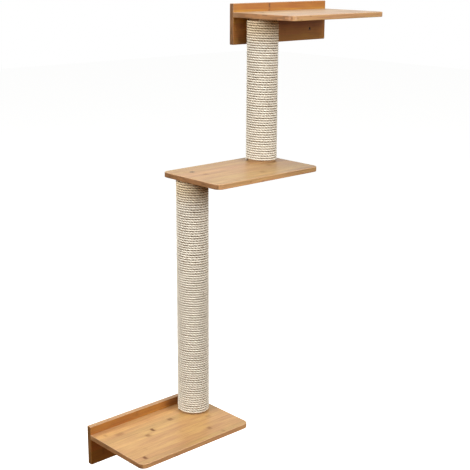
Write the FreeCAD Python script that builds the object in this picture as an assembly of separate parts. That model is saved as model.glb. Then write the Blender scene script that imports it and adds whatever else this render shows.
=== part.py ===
import FreeCAD, Part
import math
import os

from FreeCAD import Vector

# Wall mounted cat tree: three bamboo shelves climb to the right, joined by two posts wound with sisal
# rope. The bottom and the top shelf each butt against a board that is screwed to the wall, and the
# middle shelf is carried by the posts alone.
#
# Millimetres. +X runs right along the wall, the wall is the plane Y = 0 with the room towards -Y,
# and +Z is up. The origin lies midway between the two wall holes of the bottom board, on the wall.

# Shelves, all three the same
shelf_width = 400.0
shelf_depth = 245.0
shelf_thickness = 15.0
shelf_corner_radius = 20.0
edge_easing = 1.5

# Wall boards, as wide as the shelves
board_height = 120.0
board_thickness = 15.0
board_rise = 25.0
wall_hole_diameter = 9.0
wall_hole_from_end = 70.0
wall_hole_above_edge = 35.0

# Posts: tube, rope and plugs
lower_post_length = 725.0
upper_post_length = 425.0
post_from_end = 62.0
post_from_back = 62.0
tube_diameter = 82.0
tube_wall = 3.0
rope_diameter = 6.6
rope_gap = 0.5
rope_loops = 8
rope_sides = 4
rope_end_angle = 90.0
plug_thickness = 25.0

# Furniture bolts that hold the posts, and the hexagon nuts in the plugs that they screw into
bolt_diameter = 8.0
bolt_head_diameter = 16.0
bolt_length = 32.0
hex_key_width = 5.0
hex_key_depth = 3.0
nut_width = 13.0
nut_length = 20.0

# Screws from the back of each wall board into its shelf
screw_diameter = 5.0
screw_head_diameter = 10.0
screw_length = 50.0
screw_count = 2
screw_from_end = 60.0

# Clearances, each measured on one side
bolt_clearance = 0.3
screw_clearance = 0.2
nut_clearance = 0.1
thread_clearance = 0.1
plug_clearance = 0.1
rope_seat = 0.1
rope_end_room = 0.3

# Heights of the shelves' upper faces, from the wall holes of the bottom board
bottom_top = board_height - board_rise - wall_hole_above_edge
middle_top = bottom_top + lower_post_length + shelf_thickness
upper_top = middle_top + upper_post_length + shelf_thickness

# Centres of the three shelves along the wall: a post stands at the right end of the shelf below
# and at the left end of the shelf above
shelf_step = shelf_width - 2 * post_from_end
bottom_x = 0.0
middle_x = bottom_x + shelf_step
top_x = middle_x + shelf_step

# The boards' front faces carry the backs of all three shelves in one plane
shelf_back = -board_thickness
post_y = shelf_back - post_from_back
lower_post_x = bottom_x + shelf_width / 2 - post_from_end
upper_post_x = middle_x + shelf_width / 2 - post_from_end

tube_radius = tube_diameter / 2
rope_radius = rope_diameter / 2
rope_pitch = rope_diameter + rope_gap
winding_radius = tube_radius + rope_seat + rope_radius

# How finely the finished shapes are measured
same_plane = 0.01
measuring_step = 1.0

UP = Vector(0, 0, 1)
DOWN = Vector(0, 0, -1)
INTO_ROOM = Vector(0, -1, 0)


def revolved(points, place, direction):
    """Solid turned from a closed outline of (radius, distance) points about an axis at place."""
    outline = Part.makePolygon([Vector(r, 0, z) for r, z in points + points[:1]])
    solid = Part.Face(outline).revolve(Vector(), UP, 360)
    solid.Placement = FreeCAD.Placement(place, FreeCAD.Rotation(UP, direction))
    return solid


def hexagon_bar(place, direction, width, length):
    """Hexagon bar of a given width across its flats."""
    corner = width / math.sqrt(3)
    turns = [math.radians(60 * i) for i in range(6)]
    corners = [Vector(corner * math.cos(turn), corner * math.sin(turn), 0) for turn in turns]
    bar = Part.Face(Part.makePolygon(corners + corners[:1])).extrude(UP * length)
    bar.Placement = FreeCAD.Placement(place, FreeCAD.Rotation(UP, direction))
    return bar


def ring(place, direction, length, inner, outer):
    """Plain round sleeve of a given length and radii."""
    return revolved([(inner, 0), (outer, 0), (outer, length), (inner, length)], place, direction)


def eased(solid, edges):
    """Solid with the given edges taken off by the shop's light chamfer."""
    return solid.makeChamfer(edge_easing, edges)


def is_flat_rim(edge, heights):
    """True for an edge that lies wholly in one of the horizontal planes at the given heights."""
    box = edge.BoundBox
    return any(abs(box.ZMin - z) < same_plane and abs(box.ZMax - z) < same_plane for z in heights)


def countersink(head_diameter, hole_diameter, depth):
    """Outline of a clearance hole with a 90 degree countersink, from the face it is sunk in."""
    head = head_diameter / 2
    hole = hole_diameter / 2
    return [(0, 0), (head, 0), (hole, head - hole), (hole, depth), (0, depth)]


# Shelves

def shelf_blank(centre_x, top, rounded_back):
    """Shelf board with its corner radii and eased rims. A shelf against a board has a square back."""
    left = centre_x - shelf_width / 2
    front = shelf_back - shelf_depth
    bottom = top - shelf_thickness
    blank = Part.makeBox(shelf_width, shelf_depth, shelf_thickness, Vector(left, front, bottom))
    uprights = [e for e in blank.Edges if e.BoundBox.ZLength > shelf_thickness / 2]
    if not rounded_back:
        uprights = [e for e in uprights if e.BoundBox.YMax < shelf_back - shelf_depth / 2]
    blank = blank.makeFillet(shelf_corner_radius, uprights)
    rims = [e for e in blank.Edges if is_flat_rim(e, [bottom, top])]
    if not rounded_back:
        rims = [e for e in rims if e.BoundBox.YMin < shelf_back - edge_easing]
    return eased(blank, rims)


def bolt_hole(x, face, direction):
    """Countersunk hole through a shelf for a post bolt that goes in at the given face."""
    wall = bolt_diameter + 2 * bolt_clearance
    head = bolt_head_diameter + 2 * bolt_clearance
    return revolved(countersink(head, wall, shelf_thickness), Vector(x, post_y, face), direction)


def screw_places(centre_x, top):
    """Axes of the screws from the wall side of a board into the middle of its shelf's back edge."""
    first = centre_x - shelf_width / 2 + screw_from_end
    step = (shelf_width - 2 * screw_from_end) / (screw_count - 1)
    return [Vector(first + i * step, 0, top - shelf_thickness / 2) for i in range(screw_count)]


def screw_pilots(centre_x, top):
    """Holes that the board screws fill in the shelf's back edge."""
    depth = screw_length + screw_clearance
    radius = screw_diameter / 2 + screw_clearance
    return [Part.makeCylinder(radius, depth, at, INTO_ROOM) for at in screw_places(centre_x, top)]


def bottom_shelf():
    """Lowest shelf, with a bolt hole from below for the lower post."""
    blank = shelf_blank(bottom_x, bottom_top, False)
    cuts = [bolt_hole(lower_post_x, bottom_top - shelf_thickness, UP)]
    return blank.cut(cuts + screw_pilots(bottom_x, bottom_top))


def middle_shelf():
    """Shelf between the posts, bolted down onto the lower one and up into the upper one."""
    blank = shelf_blank(middle_x, middle_top, True)
    down = bolt_hole(lower_post_x, middle_top, DOWN)
    up = bolt_hole(upper_post_x, middle_top - shelf_thickness, UP)
    return blank.cut([down, up])


def top_shelf():
    """Highest shelf, with a bolt hole from above for the upper post."""
    blank = shelf_blank(top_x, upper_top, False)
    cuts = [bolt_hole(upper_post_x, upper_top, DOWN)]
    return blank.cut(cuts + screw_pilots(top_x, upper_top))


# Wall boards

def wall_board(centre_x, top):
    """Board against the wall: stands above the shelf, hangs below it, and has all its holes."""
    left = centre_x - shelf_width / 2
    edge = top + board_rise - board_height
    blank = Part.makeBox(shelf_width, board_thickness, board_height, Vector(left, -board_thickness, edge))
    room_side = [e for e in blank.Edges if e.BoundBox.YMax < -board_thickness / 2]
    blank = eased(blank, room_side)
    holes = []
    for side in (-1, 1):
        x = centre_x + side * (shelf_width / 2 - wall_hole_from_end)
        at = Vector(x, 0, edge + wall_hole_above_edge)
        holes.append(Part.makeCylinder(wall_hole_diameter / 2, board_thickness, at, INTO_ROOM))
    wall = screw_diameter + 2 * screw_clearance
    head = screw_head_diameter + 2 * screw_clearance
    outline = countersink(head, wall, board_thickness)
    for at in screw_places(centre_x, top):
        holes.append(revolved(outline, at, INTO_ROOM))
    return blank.cut(holes)


def board_screws(centre_x, top):
    """Countersunk screws that pull a shelf against its wall board."""
    shank = screw_diameter / 2
    head = screw_head_diameter / 2
    outline = [
        (0, 0),
        (head, 0),
        (shank, head - shank),
        (shank, screw_length),
        (0, screw_length),
    ]
    return Part.Compound([revolved(outline, at, INTO_ROOM) for at in screw_places(centre_x, top)])


# Posts

def on_helix(x, foot, angle):
    """Point of the rope's centre line, at an angle in degrees from the start of the winding."""
    turn = math.radians(rope_end_angle + angle)
    height = foot + rope_pitch * angle / 360
    return Vector(x + winding_radius * math.cos(turn), post_y + winding_radius * math.sin(turn), height)


def helix_direction(angle):
    """Direction in which the rope's centre line runs there."""
    turn = math.radians(rope_end_angle + angle)
    climb = rope_pitch / (2 * math.pi * winding_radius)
    return Vector(-math.sin(turn), math.cos(turn), climb).normalize()


def arc_to(start, direction, end):
    """Arc that leaves start in the given direction and reaches end."""
    chord = end - start
    side = direction - chord * (direction.dot(chord) / chord.dot(chord))
    half_turn = direction.getAngle(chord)
    rise = chord.Length / 2 * math.tan(half_turn / 2)
    return Part.Arc(start, start + chord * 0.5 + side.normalize() * rise, end).toShape()


def biarc(start, start_direction, end, end_direction):
    """Two arcs that join smoothly and follow the given directions at both ends."""
    chord = end - start
    both = chord.dot(start_direction + end_direction)
    turn = 2 * (1 - start_direction.dot(end_direction))
    reach = (math.sqrt(both * both + turn * chord.dot(chord)) - both) / turn
    meet = (start + end + (start_direction - end_direction) * reach) * 0.5
    first = arc_to(start, start_direction, meet)
    middle_direction = first.tangentAt(first.LastParameter)
    return [first, arc_to(meet, middle_direction, end)]


def rope_path(x, foot):
    """Centre line of the loops: half turns as biarcs, and a straight rope diameter at each end."""
    steps = [180.0 * i for i in range(2 * rope_loops + 1)]
    points = [on_helix(x, foot, angle) for angle in steps]
    directions = [helix_direction(angle) for angle in steps]
    lead_in = points[0] - directions[0] * rope_diameter
    lead_out = points[-1] + directions[-1] * rope_diameter
    edges = [Part.LineSegment(lead_in, points[0]).toShape()]
    for i in range(len(steps) - 1):
        edges += biarc(points[i], directions[i], points[i + 1], directions[i + 1])
    edges.append(Part.LineSegment(points[-1], lead_out).toShape())
    return Part.Wire(edges)


def rope_section(path):
    """Faceted cross-section of the rope at the start of its path, one corner outwards."""
    start = path.Edges[0].Vertexes[0].Point
    along = path.Edges[0].tangentAt(path.Edges[0].FirstParameter)
    turn = math.radians(rope_end_angle)
    outward = Vector(math.cos(turn), math.sin(turn), 0) * rope_radius
    upward = along.cross(outward)
    angles = [2 * math.pi * i / rope_sides for i in range(rope_sides)]
    corners = [start + outward * math.cos(a) + upward * math.sin(a) for a in angles]
    return Part.makePolygon(corners + corners[:1])


def least_rope_gap(path):
    """Least gap between neighbouring loops, measured on points of the rope's centre line."""
    points = path.discretize(Distance=measuring_step)
    half_turn = int(math.pi * winding_radius / measuring_step)
    least = min(
        point.distanceToPoint(other)
        for i, point in enumerate(points)
        for other in points[i + half_turn:i + 3 * half_turn]
    )
    return least - rope_diameter


def lowest_loops(name, x, foot):
    """Lowest loops of the winding, one unbroken rope."""
    path = rope_path(x, foot)
    print(name, "least gap between loops", round(least_rope_gap(path), 3), "mm")
    shell = Part.BRepOffsetAPI.MakePipeShell(path)
    shell.add(rope_section(path))
    shell.build()
    shell.makeSolid()
    return shell.shape()


def post_rope(name, x, bottom, top):
    """Sisal winding: its lowest loops one by one, and the rest of its length as one plain body."""
    foot = bottom + rope_radius + rope_end_room
    loops = lowest_loops(name, x, foot)
    rest_foot = foot + rope_pitch * rope_loops + rope_radius + rope_end_room
    inner = tube_radius + rope_seat
    rest = ring(Vector(x, post_y, rest_foot), UP, top - rest_foot, inner, winding_radius + rope_radius)
    return Part.Compound([loops, rest])


def post_tube(x, bottom, top):
    """Cardboard tube of a post, standing between two shelves."""
    return ring(Vector(x, post_y, bottom), UP, top - bottom, tube_radius - tube_wall, tube_radius)


def post_plug(x, end, inwards):
    """Round wooden plug in one end of the tube, with a hexagon pocket through it for its nut."""
    place = Vector(x, post_y, end)
    disc = Part.makeCylinder(tube_radius - tube_wall - plug_clearance, plug_thickness, place, inwards)
    return disc.cut(hexagon_bar(place, inwards, nut_width + 2 * nut_clearance, plug_thickness))


def post_nut(x, end, inwards):
    """Long hexagon nut in a plug, flush with the end of the post."""
    place = Vector(x, post_y, end)
    bore = Part.makeCylinder(bolt_diameter / 2 + thread_clearance, nut_length, place, inwards)
    return hexagon_bar(place, inwards, nut_width, nut_length).cut(bore)


def post_bolt(x, face, inwards):
    """Countersunk furniture bolt, flush with the shelf's outer face, with a hexagon socket."""
    head = bolt_head_diameter / 2
    shank = bolt_diameter / 2
    outline = [
        (0, 0),
        (head, 0),
        (shank, head - shank),
        (shank, bolt_length),
        (0, bolt_length),
    ]
    place = Vector(x, post_y, face)
    return revolved(outline, place, inwards).cut(hexagon_bar(place, inwards, hex_key_width, hex_key_depth))


def post(name, x, bottom, top):
    """All pieces of one post that stands on a shelf's upper face and ends under the next shelf."""
    ends = ((bottom, UP), (top, DOWN))
    plugs = [post_plug(x, end, inwards) for end, inwards in ends]
    nuts = [post_nut(x, end, inwards) for end, inwards in ends]
    bolts = [post_bolt(x, end - inwards.z * shelf_thickness, inwards) for end, inwards in ends]
    return {
        name + "_tube": post_tube(x, bottom, top),
        name + "_rope": post_rope(name, x, bottom, top),
        name + "_plugs": Part.Compound(plugs),
        name + "_nuts": Part.Compound(nuts),
        name + "_bolts": Part.Compound(bolts),
    }


def cat_tree():
    """Every piece of the cat tree under its own name."""
    pieces = {
        "bottom_wall_board": wall_board(bottom_x, bottom_top),
        "bottom_shelf": bottom_shelf(),
        "bottom_shelf_screws": board_screws(bottom_x, bottom_top),
        "middle_shelf": middle_shelf(),
        "top_wall_board": wall_board(top_x, upper_top),
        "top_shelf": top_shelf(),
        "top_shelf_screws": board_screws(top_x, upper_top),
    }
    pieces.update(post("lower_post", lower_post_x, bottom_top, middle_top - shelf_thickness))
    pieces.update(post("upper_post", upper_post_x, middle_top, upper_top - shelf_thickness))
    return pieces


os.makedirs("parts", exist_ok=True)
for node, shape in cat_tree().items():
    print(node, len(shape.Solids), "valid" if shape.isValid() else "NOT VALID", round(shape.Volume, 1))
    shape.exportStep("parts/" + node + ".step")
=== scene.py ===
"""Finishes and fine forms of a wall mounted cat tree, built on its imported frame.

Metres, in the frame's own axes: +X runs right along the wall, the wall is the plane Y = 0 with the
room towards -Y, and +Z is up.
"""

import math

import bmesh
import bpy
from bpy.props import FloatProperty, FloatVectorProperty, IntProperty, PointerProperty
from mathutils import Matrix, Vector


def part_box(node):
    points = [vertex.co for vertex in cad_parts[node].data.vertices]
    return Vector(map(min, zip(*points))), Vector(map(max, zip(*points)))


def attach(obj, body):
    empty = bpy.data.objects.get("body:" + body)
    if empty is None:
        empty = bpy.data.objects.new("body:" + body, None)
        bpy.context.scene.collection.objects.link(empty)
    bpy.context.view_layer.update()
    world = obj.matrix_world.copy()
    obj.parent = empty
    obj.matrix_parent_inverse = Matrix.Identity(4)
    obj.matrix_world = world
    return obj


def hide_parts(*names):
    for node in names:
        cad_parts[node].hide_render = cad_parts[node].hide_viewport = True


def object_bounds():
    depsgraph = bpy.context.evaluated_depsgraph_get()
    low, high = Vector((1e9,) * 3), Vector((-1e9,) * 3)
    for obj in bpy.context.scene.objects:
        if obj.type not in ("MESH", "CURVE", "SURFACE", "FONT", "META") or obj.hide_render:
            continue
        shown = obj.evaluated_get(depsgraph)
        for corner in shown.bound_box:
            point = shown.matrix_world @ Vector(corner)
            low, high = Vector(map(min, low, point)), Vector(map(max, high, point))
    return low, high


bl_info = {
    "name": "Wall Mounted Cat Tree",
    "version": (1, 0, 0),
    "blender": (4, 5, 0),
    "location": "3D View > Sidebar > Cat Tree",
    "description": "Dresses the frame of a bamboo cat tree with boards, sisal windings and bolts",
    "category": "Add Mesh",
}

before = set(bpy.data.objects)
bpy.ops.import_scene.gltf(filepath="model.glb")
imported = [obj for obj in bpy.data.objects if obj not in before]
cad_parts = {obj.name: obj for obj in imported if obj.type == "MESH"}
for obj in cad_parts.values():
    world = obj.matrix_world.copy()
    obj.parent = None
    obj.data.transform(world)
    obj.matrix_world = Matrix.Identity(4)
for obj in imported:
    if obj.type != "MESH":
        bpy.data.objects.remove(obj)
cad_low, cad_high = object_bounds()

MM = 0.001
BODY = "root"
SHELVES = ("bottom_shelf", "middle_shelf", "top_shelf")
WALL_BOARDS = ("bottom_wall_board", "top_wall_board")
POSTS = ("lower_post", "upper_post")


def linear(code):
    """Linear colour of an sRGB hex value."""
    channels = [int(code[i : i + 2], 16) / 255 for i in (1, 3, 5)]
    return [c / 12.92 if c <= 0.04045 else ((c + 0.055) / 1.055) ** 2.4 for c in channels]


def size(name, description, default):
    """Length in millimetres that a user may change."""
    return FloatProperty(
        name=name, description=description, default=default * MM, min=0.0, unit="LENGTH"
    )


def colour(name, description, code):
    """Colour that a user may change."""
    return FloatVectorProperty(
        name=name, description=description, default=linear(code), min=0.0, max=1.0, subtype="COLOR"
    )


class CatTreeSizes(bpy.types.PropertyGroup):
    """Sizes of the fine forms. The places and main sizes come from the frame."""

    corner_radius: size("Corner radius", "Rounding of a shelf's free corners", 20.0)
    arris_radius: size("Arris radius", "Rounding along the edges of shelves and boards", 1.8)
    wall_hole: size("Wall hole", "Diameter of the holes for the wall screws", 9.0)
    strip_width: size("Strip width", "Width of the glued bamboo strips", 20.4)
    rope_diameter: size("Rope diameter", "Thickness of the sisal rope", 6.6)
    rope_pitch: size("Rope pitch", "Height of one turn of the winding", 7.1)
    rope_lay: size("Rope lay", "Length in which a strand goes once round the rope", 26.0)
    strand_depth: size("Strand depth", "Depth of the grooves between the strands", 0.75)
    bolt_head: size("Bolt head", "Diameter of the furniture bolts' heads", 16.0)
    bolt_shank: size("Bolt shank", "Diameter of the furniture bolts' threads", 8.0)
    bolt_length: size("Bolt length", "Length of the furniture bolts", 32.0)
    hex_key: size("Hexagon key", "Width across the flats of the bolts' sockets", 5.0)
    screw_head: size("Screw head", "Diameter of the board screws' heads", 10.0)
    screw_shank: size("Screw shank", "Diameter of the board screws' threads", 5.0)
    screw_length: size("Screw length", "Length of the board screws", 50.0)
    seed: IntProperty(name="Seed", description="Start of all random variation", default=7, min=0)


class CatTreeColours(bpy.types.PropertyGroup):
    """Colours of the finishes."""

    shelf: colour("Shelf bamboo", "Steamed and lacquered bamboo of the shelves", "#C49861")
    board: colour("Board bamboo", "Darker bamboo of the wall boards", "#AE732F")
    # The edge colour also gives the pale upper arrises: partly wear, partly a painted highlight
    edge: colour("Bamboo edges", "Long edges and rubbed arrises", "#C29565")
    bamboo_dark: colour("Bamboo nodes", "Rings of the bamboo stem and glue lines", "#693C15")
    shelf_end: colour("Shelf end grain", "Cut ends of the shelves' strips", "#87603D")
    board_end: colour("Board end grain", "Cut ends of the boards' strips", "#714C27")
    sisal: colour("Sisal", "Bleached sisal fibre", "#EEE8D8")
    # Sisal grooves: the colour of the fibre speckle and of the painted shade in the dips between
    # strands and turns
    sisal_fibre_and_shade: colour("Sisal grooves", "Fibre between the strands and turns", "#85725A")
    cardboard: colour("Cardboard", "Brown kraft paper", "#A07C55")
    plug: colour("Plug wood", "Pale softwood", "#D8BC8C")
    steel: colour("Steel", "Zinc plated steel", "#BDBFC2")
    dark_steel: colour("Dark steel", "Black zinc plated steel of the furniture bolts", "#6F5036")
    floor: colour("Floor", "Plain pale floor", "#F4F4F2")


def add(tree, kind, inputs=None, **settings):
    """Adds a node with its settings. Each input is a value or the output that feeds it."""
    made = tree.nodes.new(kind)
    for key, value in settings.items():
        setattr(made, key, value)
    for socket, value in (inputs or {}).items():
        if isinstance(value, bpy.types.NodeSocket):
            tree.links.new(value, made.inputs[socket])
        else:
            made.inputs[socket].default_value = value
    return made


def maths(tree, operation, *values, clamp=False):
    """Result of a math node."""
    inputs = dict(enumerate(values))
    return add(tree, "ShaderNodeMath", inputs, operation=operation, use_clamp=clamp).outputs[0]


def vector_maths(tree, operation, *values):
    """Result of a vector math node."""
    inputs = dict(enumerate(values))
    return add(tree, "ShaderNodeVectorMath", inputs, operation=operation).outputs[0]


def scaled(tree, vector, share):
    """Vector made longer or shorter."""
    inputs = {0: vector, "Scale": share}
    return add(tree, "ShaderNodeVectorMath", inputs, operation="SCALE").outputs[0]


def split(tree, vector):
    """X, Y and Z of a vector."""
    return add(tree, "ShaderNodeSeparateXYZ", {0: vector}).outputs


def joined(tree, x=0.0, y=0.0, z=0.0):
    """Vector of three numbers."""
    return add(tree, "ShaderNodeCombineXYZ", {"X": x, "Y": y, "Z": z}).outputs[0]


def ranged(tree, value, taken=(0.0, 1.0), given=(0.0, 1.0), smooth=False):
    """Value taken from one span to another and held at its ends."""
    inputs = {
        "Value": value,
        "From Min": taken[0],
        "From Max": taken[1],
        "To Min": given[0],
        "To Max": given[1],
    }
    kind = "SMOOTHSTEP" if smooth else "LINEAR"
    return add(tree, "ShaderNodeMapRange", inputs, interpolation_type=kind).outputs[0]


def mixed(tree, factor, first, second):
    """Number between two numbers."""
    return add(tree, "ShaderNodeMix", {"Factor": factor, 2: first, 3: second}).outputs[0]


def painted(tree, factor, first, second, blend="MIX"):
    """Colour between two colours."""
    inputs = {"Factor": factor, 6: first, 7: second}
    return add(tree, "ShaderNodeMix", inputs, data_type="RGBA", blend_type=blend).outputs[2]


def toned(tree, tint, value, hue=0.5):
    """Colour made brighter or duller, and its hue turned."""
    inputs = {"Hue": hue, "Value": value, "Color": tint}
    return add(tree, "ShaderNodeHueSaturation", inputs).outputs[0]


def rgba(tint, share=1.0):
    """Opaque colour value, dimmed to a share."""
    return (*[c * share for c in tint], 1)


def noise(tree, place, cells, detail, roughness=0.5):
    """Noise with its own number of cells per unit along each axis."""
    stretched = add(tree, "ShaderNodeMapping", {"Vector": place, "Scale": cells}).outputs[0]
    inputs = {"Vector": stretched, "Scale": 1.0, "Detail": detail, "Roughness": roughness}
    return add(tree, "ShaderNodeTexNoise", inputs).outputs


def dice(tree, x, y, seed):
    """Random number and colour for each pair of whole numbers."""
    inputs = {"Vector": joined(tree, x, y, float(seed))}
    return add(tree, "ShaderNodeTexWhiteNoise", inputs, noise_dimensions="3D").outputs


def bumped(tree, height, strength, distance, sunk=False):
    """Normal of a fine relief."""
    inputs = {"Height": height, "Strength": strength, "Distance": distance}
    return add(tree, "ShaderNodeBump", inputs, invert=sunk).outputs[0]


def new_material(name):
    """Material and its empty node tree."""
    material = bpy.data.materials.new(name)
    material.use_nodes = True
    material.node_tree.nodes.clear()
    return material, material.node_tree


def surfaced(tree, inputs):
    """Ends a material in a Principled surface."""
    shader = add(tree, "ShaderNodeBsdfPrincipled", inputs)
    add(tree, "ShaderNodeOutputMaterial", {"Surface": shader.outputs[0]})


def new_group(name, inputs):
    """Geometry node tree with named inputs, and those inputs."""
    tree = bpy.data.node_groups.new(name, "GeometryNodeTree")
    for label, kind in inputs.items():
        tree.interface.new_socket(label, in_out="INPUT", socket_type="NodeSocket" + kind)
    tree.interface.new_socket("Geometry", in_out="OUTPUT", socket_type="NodeSocketGeometry")
    return tree, add(tree, "NodeGroupInput").outputs


def close_group(tree, geometry, material):
    """Ends a geometry node tree in real, dressed geometry."""
    real = add(tree, "GeometryNodeRealizeInstances", {"Geometry": geometry}).outputs[0]
    inputs = {"Geometry": real, "Material": material}
    dressed = add(tree, "GeometryNodeSetMaterial", inputs).outputs[0]
    add(tree, "NodeGroupOutput", {"Geometry": dressed})


# Stage

# Camera fitted to edges and points of the photograph. Angles in radians, lens in millimetres
CAMERA_PLACE = (-1.71208, -2.26287, 1.39225)
CAMERA_YAW = 0.74574
CAMERA_PITCH = -0.26596
CAMERA_ROLL = 0.00581
CAMERA_LENS = 77.695
CAMERA_REACH = 100.0

# The camera sees the floor lifted by its glow. To every other ray it is dim and warm: a stand-in that
# darkens and browns the undersides, matched against the photograph
FLOOR_HEIGHT = -0.65
FLOOR_REACH = 15.0
FLOOR_GLOW = 0.75
FLOOR_BOUNCE = (0.26, 0.13, 0.05)

# Strength of the surroundings above and below the horizon, and above it to glossy rays. HORIZON is
# half the height over which they change
SKY_ABOVE = 0.25
SKY_BELOW = 0.03
SKY_MIRRORED = 1.0
HORIZON = 0.1

# name, direction it shines from (azimuth, elevation in degrees), distance, width, power
SOFTBOXES = (
    ("left_softbox", 262.0, 28.0, 3.4, 1.6, 115.0),
    ("right_softbox", 6.0, 28.0, 3.4, 1.6, 115.0),
    ("top_softbox", 318.0, 80.0, 3.0, 1.8, 18.0),
)


def aimed(turn, rise):
    """Direction at an angle from the wall's normal and above the level."""
    level = math.cos(rise)
    return Vector((math.sin(turn) * level, math.cos(turn) * level, math.sin(rise)))


def camera_turn():
    """Camera's axes as a rotation: yaw from the wall's normal, then pitch, then roll."""
    ahead = aimed(CAMERA_YAW, CAMERA_PITCH)
    level = Vector((math.cos(CAMERA_YAW), -math.sin(CAMERA_YAW), 0.0))
    above = level.cross(ahead)
    right = level * math.cos(CAMERA_ROLL) + above * math.sin(CAMERA_ROLL)
    up = above * math.cos(CAMERA_ROLL) - level * math.sin(CAMERA_ROLL)
    return Matrix((right, up, -ahead)).transposed()


def floor_material(tint):
    """Matt painted floor. The camera sees it lifted towards white, and it keeps the soft shadow."""
    material, tree = new_material("painted_floor")
    seen = add(tree, "ShaderNodeLightPath").outputs["Is Camera Ray"]
    lift = add(tree, "ShaderNodeEmission", {"Color": (1, 1, 1, 1), "Strength": FLOOR_GLOW})
    matt = add(tree, "ShaderNodeBsdfDiffuse", {"Color": rgba(tint)})
    both = add(tree, "ShaderNodeAddShader", {0: matt.outputs[0], 1: lift.outputs[0]})
    warm = [c * share for c, share in zip(tint, FLOOR_BOUNCE)]
    dull = add(tree, "ShaderNodeBsdfDiffuse", {"Color": rgba(warm)})
    laid = add(tree, "ShaderNodeMixShader", {0: seen, 1: dull.outputs[0], 2: both.outputs[0]})
    back = add(tree, "ShaderNodeNewGeometry").outputs["Backfacing"]
    clear = add(tree, "ShaderNodeBsdfTransparent")
    shown = add(tree, "ShaderNodeMixShader", {0: back, 1: laid.outputs[0], 2: clear.outputs[0]})
    add(tree, "ShaderNodeOutputMaterial", {"Surface": shown.outputs[0]})
    return material


def studio():
    """White surroundings that light the object only softly."""
    world = bpy.data.worlds.new("studio")
    world.use_nodes = True
    tree = world.node_tree
    tree.nodes.clear()
    rays = add(tree, "ShaderNodeLightPath").outputs
    seen = maths(tree, "MAXIMUM", rays["Is Camera Ray"], rays["Is Transmission Ray"])
    above = mixed(tree, rays["Is Glossy Ray"], SKY_ABOVE, SKY_MIRRORED)
    way = split(tree, add(tree, "ShaderNodeTexCoord").outputs["Generated"])
    level = ranged(tree, way["Z"], (-HORIZON, HORIZON), (SKY_BELOW, above))
    strength = mixed(tree, seen, level, 1.0)
    sky = add(tree, "ShaderNodeBackground", {"Color": (1, 1, 1, 1), "Strength": strength})
    add(tree, "ShaderNodeOutputWorld", {"Surface": sky.outputs[0]})
    return world


class CATTREE_OT_stage(bpy.types.Operator):
    """Camera at the photograph's angle, pale floor, white surroundings and soft studio lamps"""

    bl_idname = "cattree.stage"
    bl_label = "Stage"

    def execute(self, context):
        scene = context.scene
        lens = bpy.data.cameras.new("camera")
        lens.lens = CAMERA_LENS
        lens.clip_end = CAMERA_REACH
        camera = bpy.data.objects.new("camera", lens)
        camera.matrix_world = Matrix.Translation(CAMERA_PLACE) @ camera_turn().to_4x4()
        scene.collection.objects.link(camera)
        scene.camera = camera

        mesh = bpy.data.meshes.new("floor")
        signs = ((-1, -1), (1, -1), (1, 1), (-1, 1))
        corners = [(x * FLOOR_REACH, y * FLOOR_REACH, FLOOR_HEIGHT) for x, y in signs]
        mesh.from_pydata(corners, [], [(0, 1, 2, 3)])
        mesh.materials.append(floor_material(scene.cat_tree_colours.floor))
        floor = bpy.data.objects.new("floor", mesh)
        scene.collection.objects.link(floor)

        middle = (cad_low + cad_high) / 2
        for name, azimuth, elevation, distance, width, power in SOFTBOXES:
            lamp = bpy.data.lights.new(name, "AREA")
            lamp.shape = "SQUARE"
            lamp.size = width
            lamp.energy = power
            back = aimed(math.pi - math.radians(azimuth), math.radians(elevation))
            box = bpy.data.objects.new(name, lamp)
            box.location = middle + back * distance
            box.rotation_euler = (-back).to_track_quat("-Z", "Y").to_euler()
            scene.collection.objects.link(box)

        scene.world = studio()
        scene.view_settings.view_transform = "Standard"
        return {"FINISHED"}


# Bamboo boards

# Facets of an arris, of a rounded corner and of a hole
ARRIS_STEPS = 4
CORNER_STEPS = 12
HOLE_STEPS = 40

# Strip beside an arris that keeps its shading off the flat side
ARRIS_FLAT = 0.6 * MM

# Arris at the wall side, and what a wall board's corner is rounded beyond its arris
BACK_ARRIS = 0.5 * MM
BOARD_CORNER = 0.6 * MM


def board_outline(low, high, radii, inset, held):
    """Outline of a board drawn in by inset, except at a far side that is held against another."""
    far = 0.0 if held else inset
    corners = (
        (low[0] + inset, low[1] + inset),
        (high[0] - inset, low[1] + inset),
        (high[0] - inset, high[1] - far),
        (low[0] + inset, high[1] - far),
    )
    points = []
    for i, ((u, v), radius) in enumerate(zip(corners, radii)):
        if radius == 0.0:
            points.append((u, v))
            continue
        arc = radius - inset
        centre = (u + (arc if i in (0, 3) else -arc), v + (arc if i in (0, 1) else -arc))
        for step in range(CORNER_STEPS + 1):
            turn = math.radians(180 + 90 * i + 90 * step / CORNER_STEPS)
            points.append((centre[0] + arc * math.cos(turn), centre[1] + arc * math.sin(turn)))
    return points


def side_steps(thickness, first, last):
    """(inset, height) steps up the side of a board whose two arrises are rounded."""
    turns = [math.radians(90 * i / ARRIS_STEPS) for i in range(ARRIS_STEPS + 1)]
    lower = [(first * (1 - math.sin(t)), first * (1 - math.cos(t))) for t in turns]
    upper = [(last * (1 - math.cos(t)), thickness - last * (1 - math.sin(t))) for t in turns]
    flat = [(0.0, first + ARRIS_FLAT), (0.0, thickness - last - ARRIS_FLAT)]
    return lower + flat + upper


def circle(u, v, radius):
    """Points of a hole's rim."""
    turns = [2 * math.pi * i / HOLE_STEPS for i in range(HOLE_STEPS)]
    return [(u + radius * math.cos(t), v + radius * math.sin(t)) for t in turns]


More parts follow.
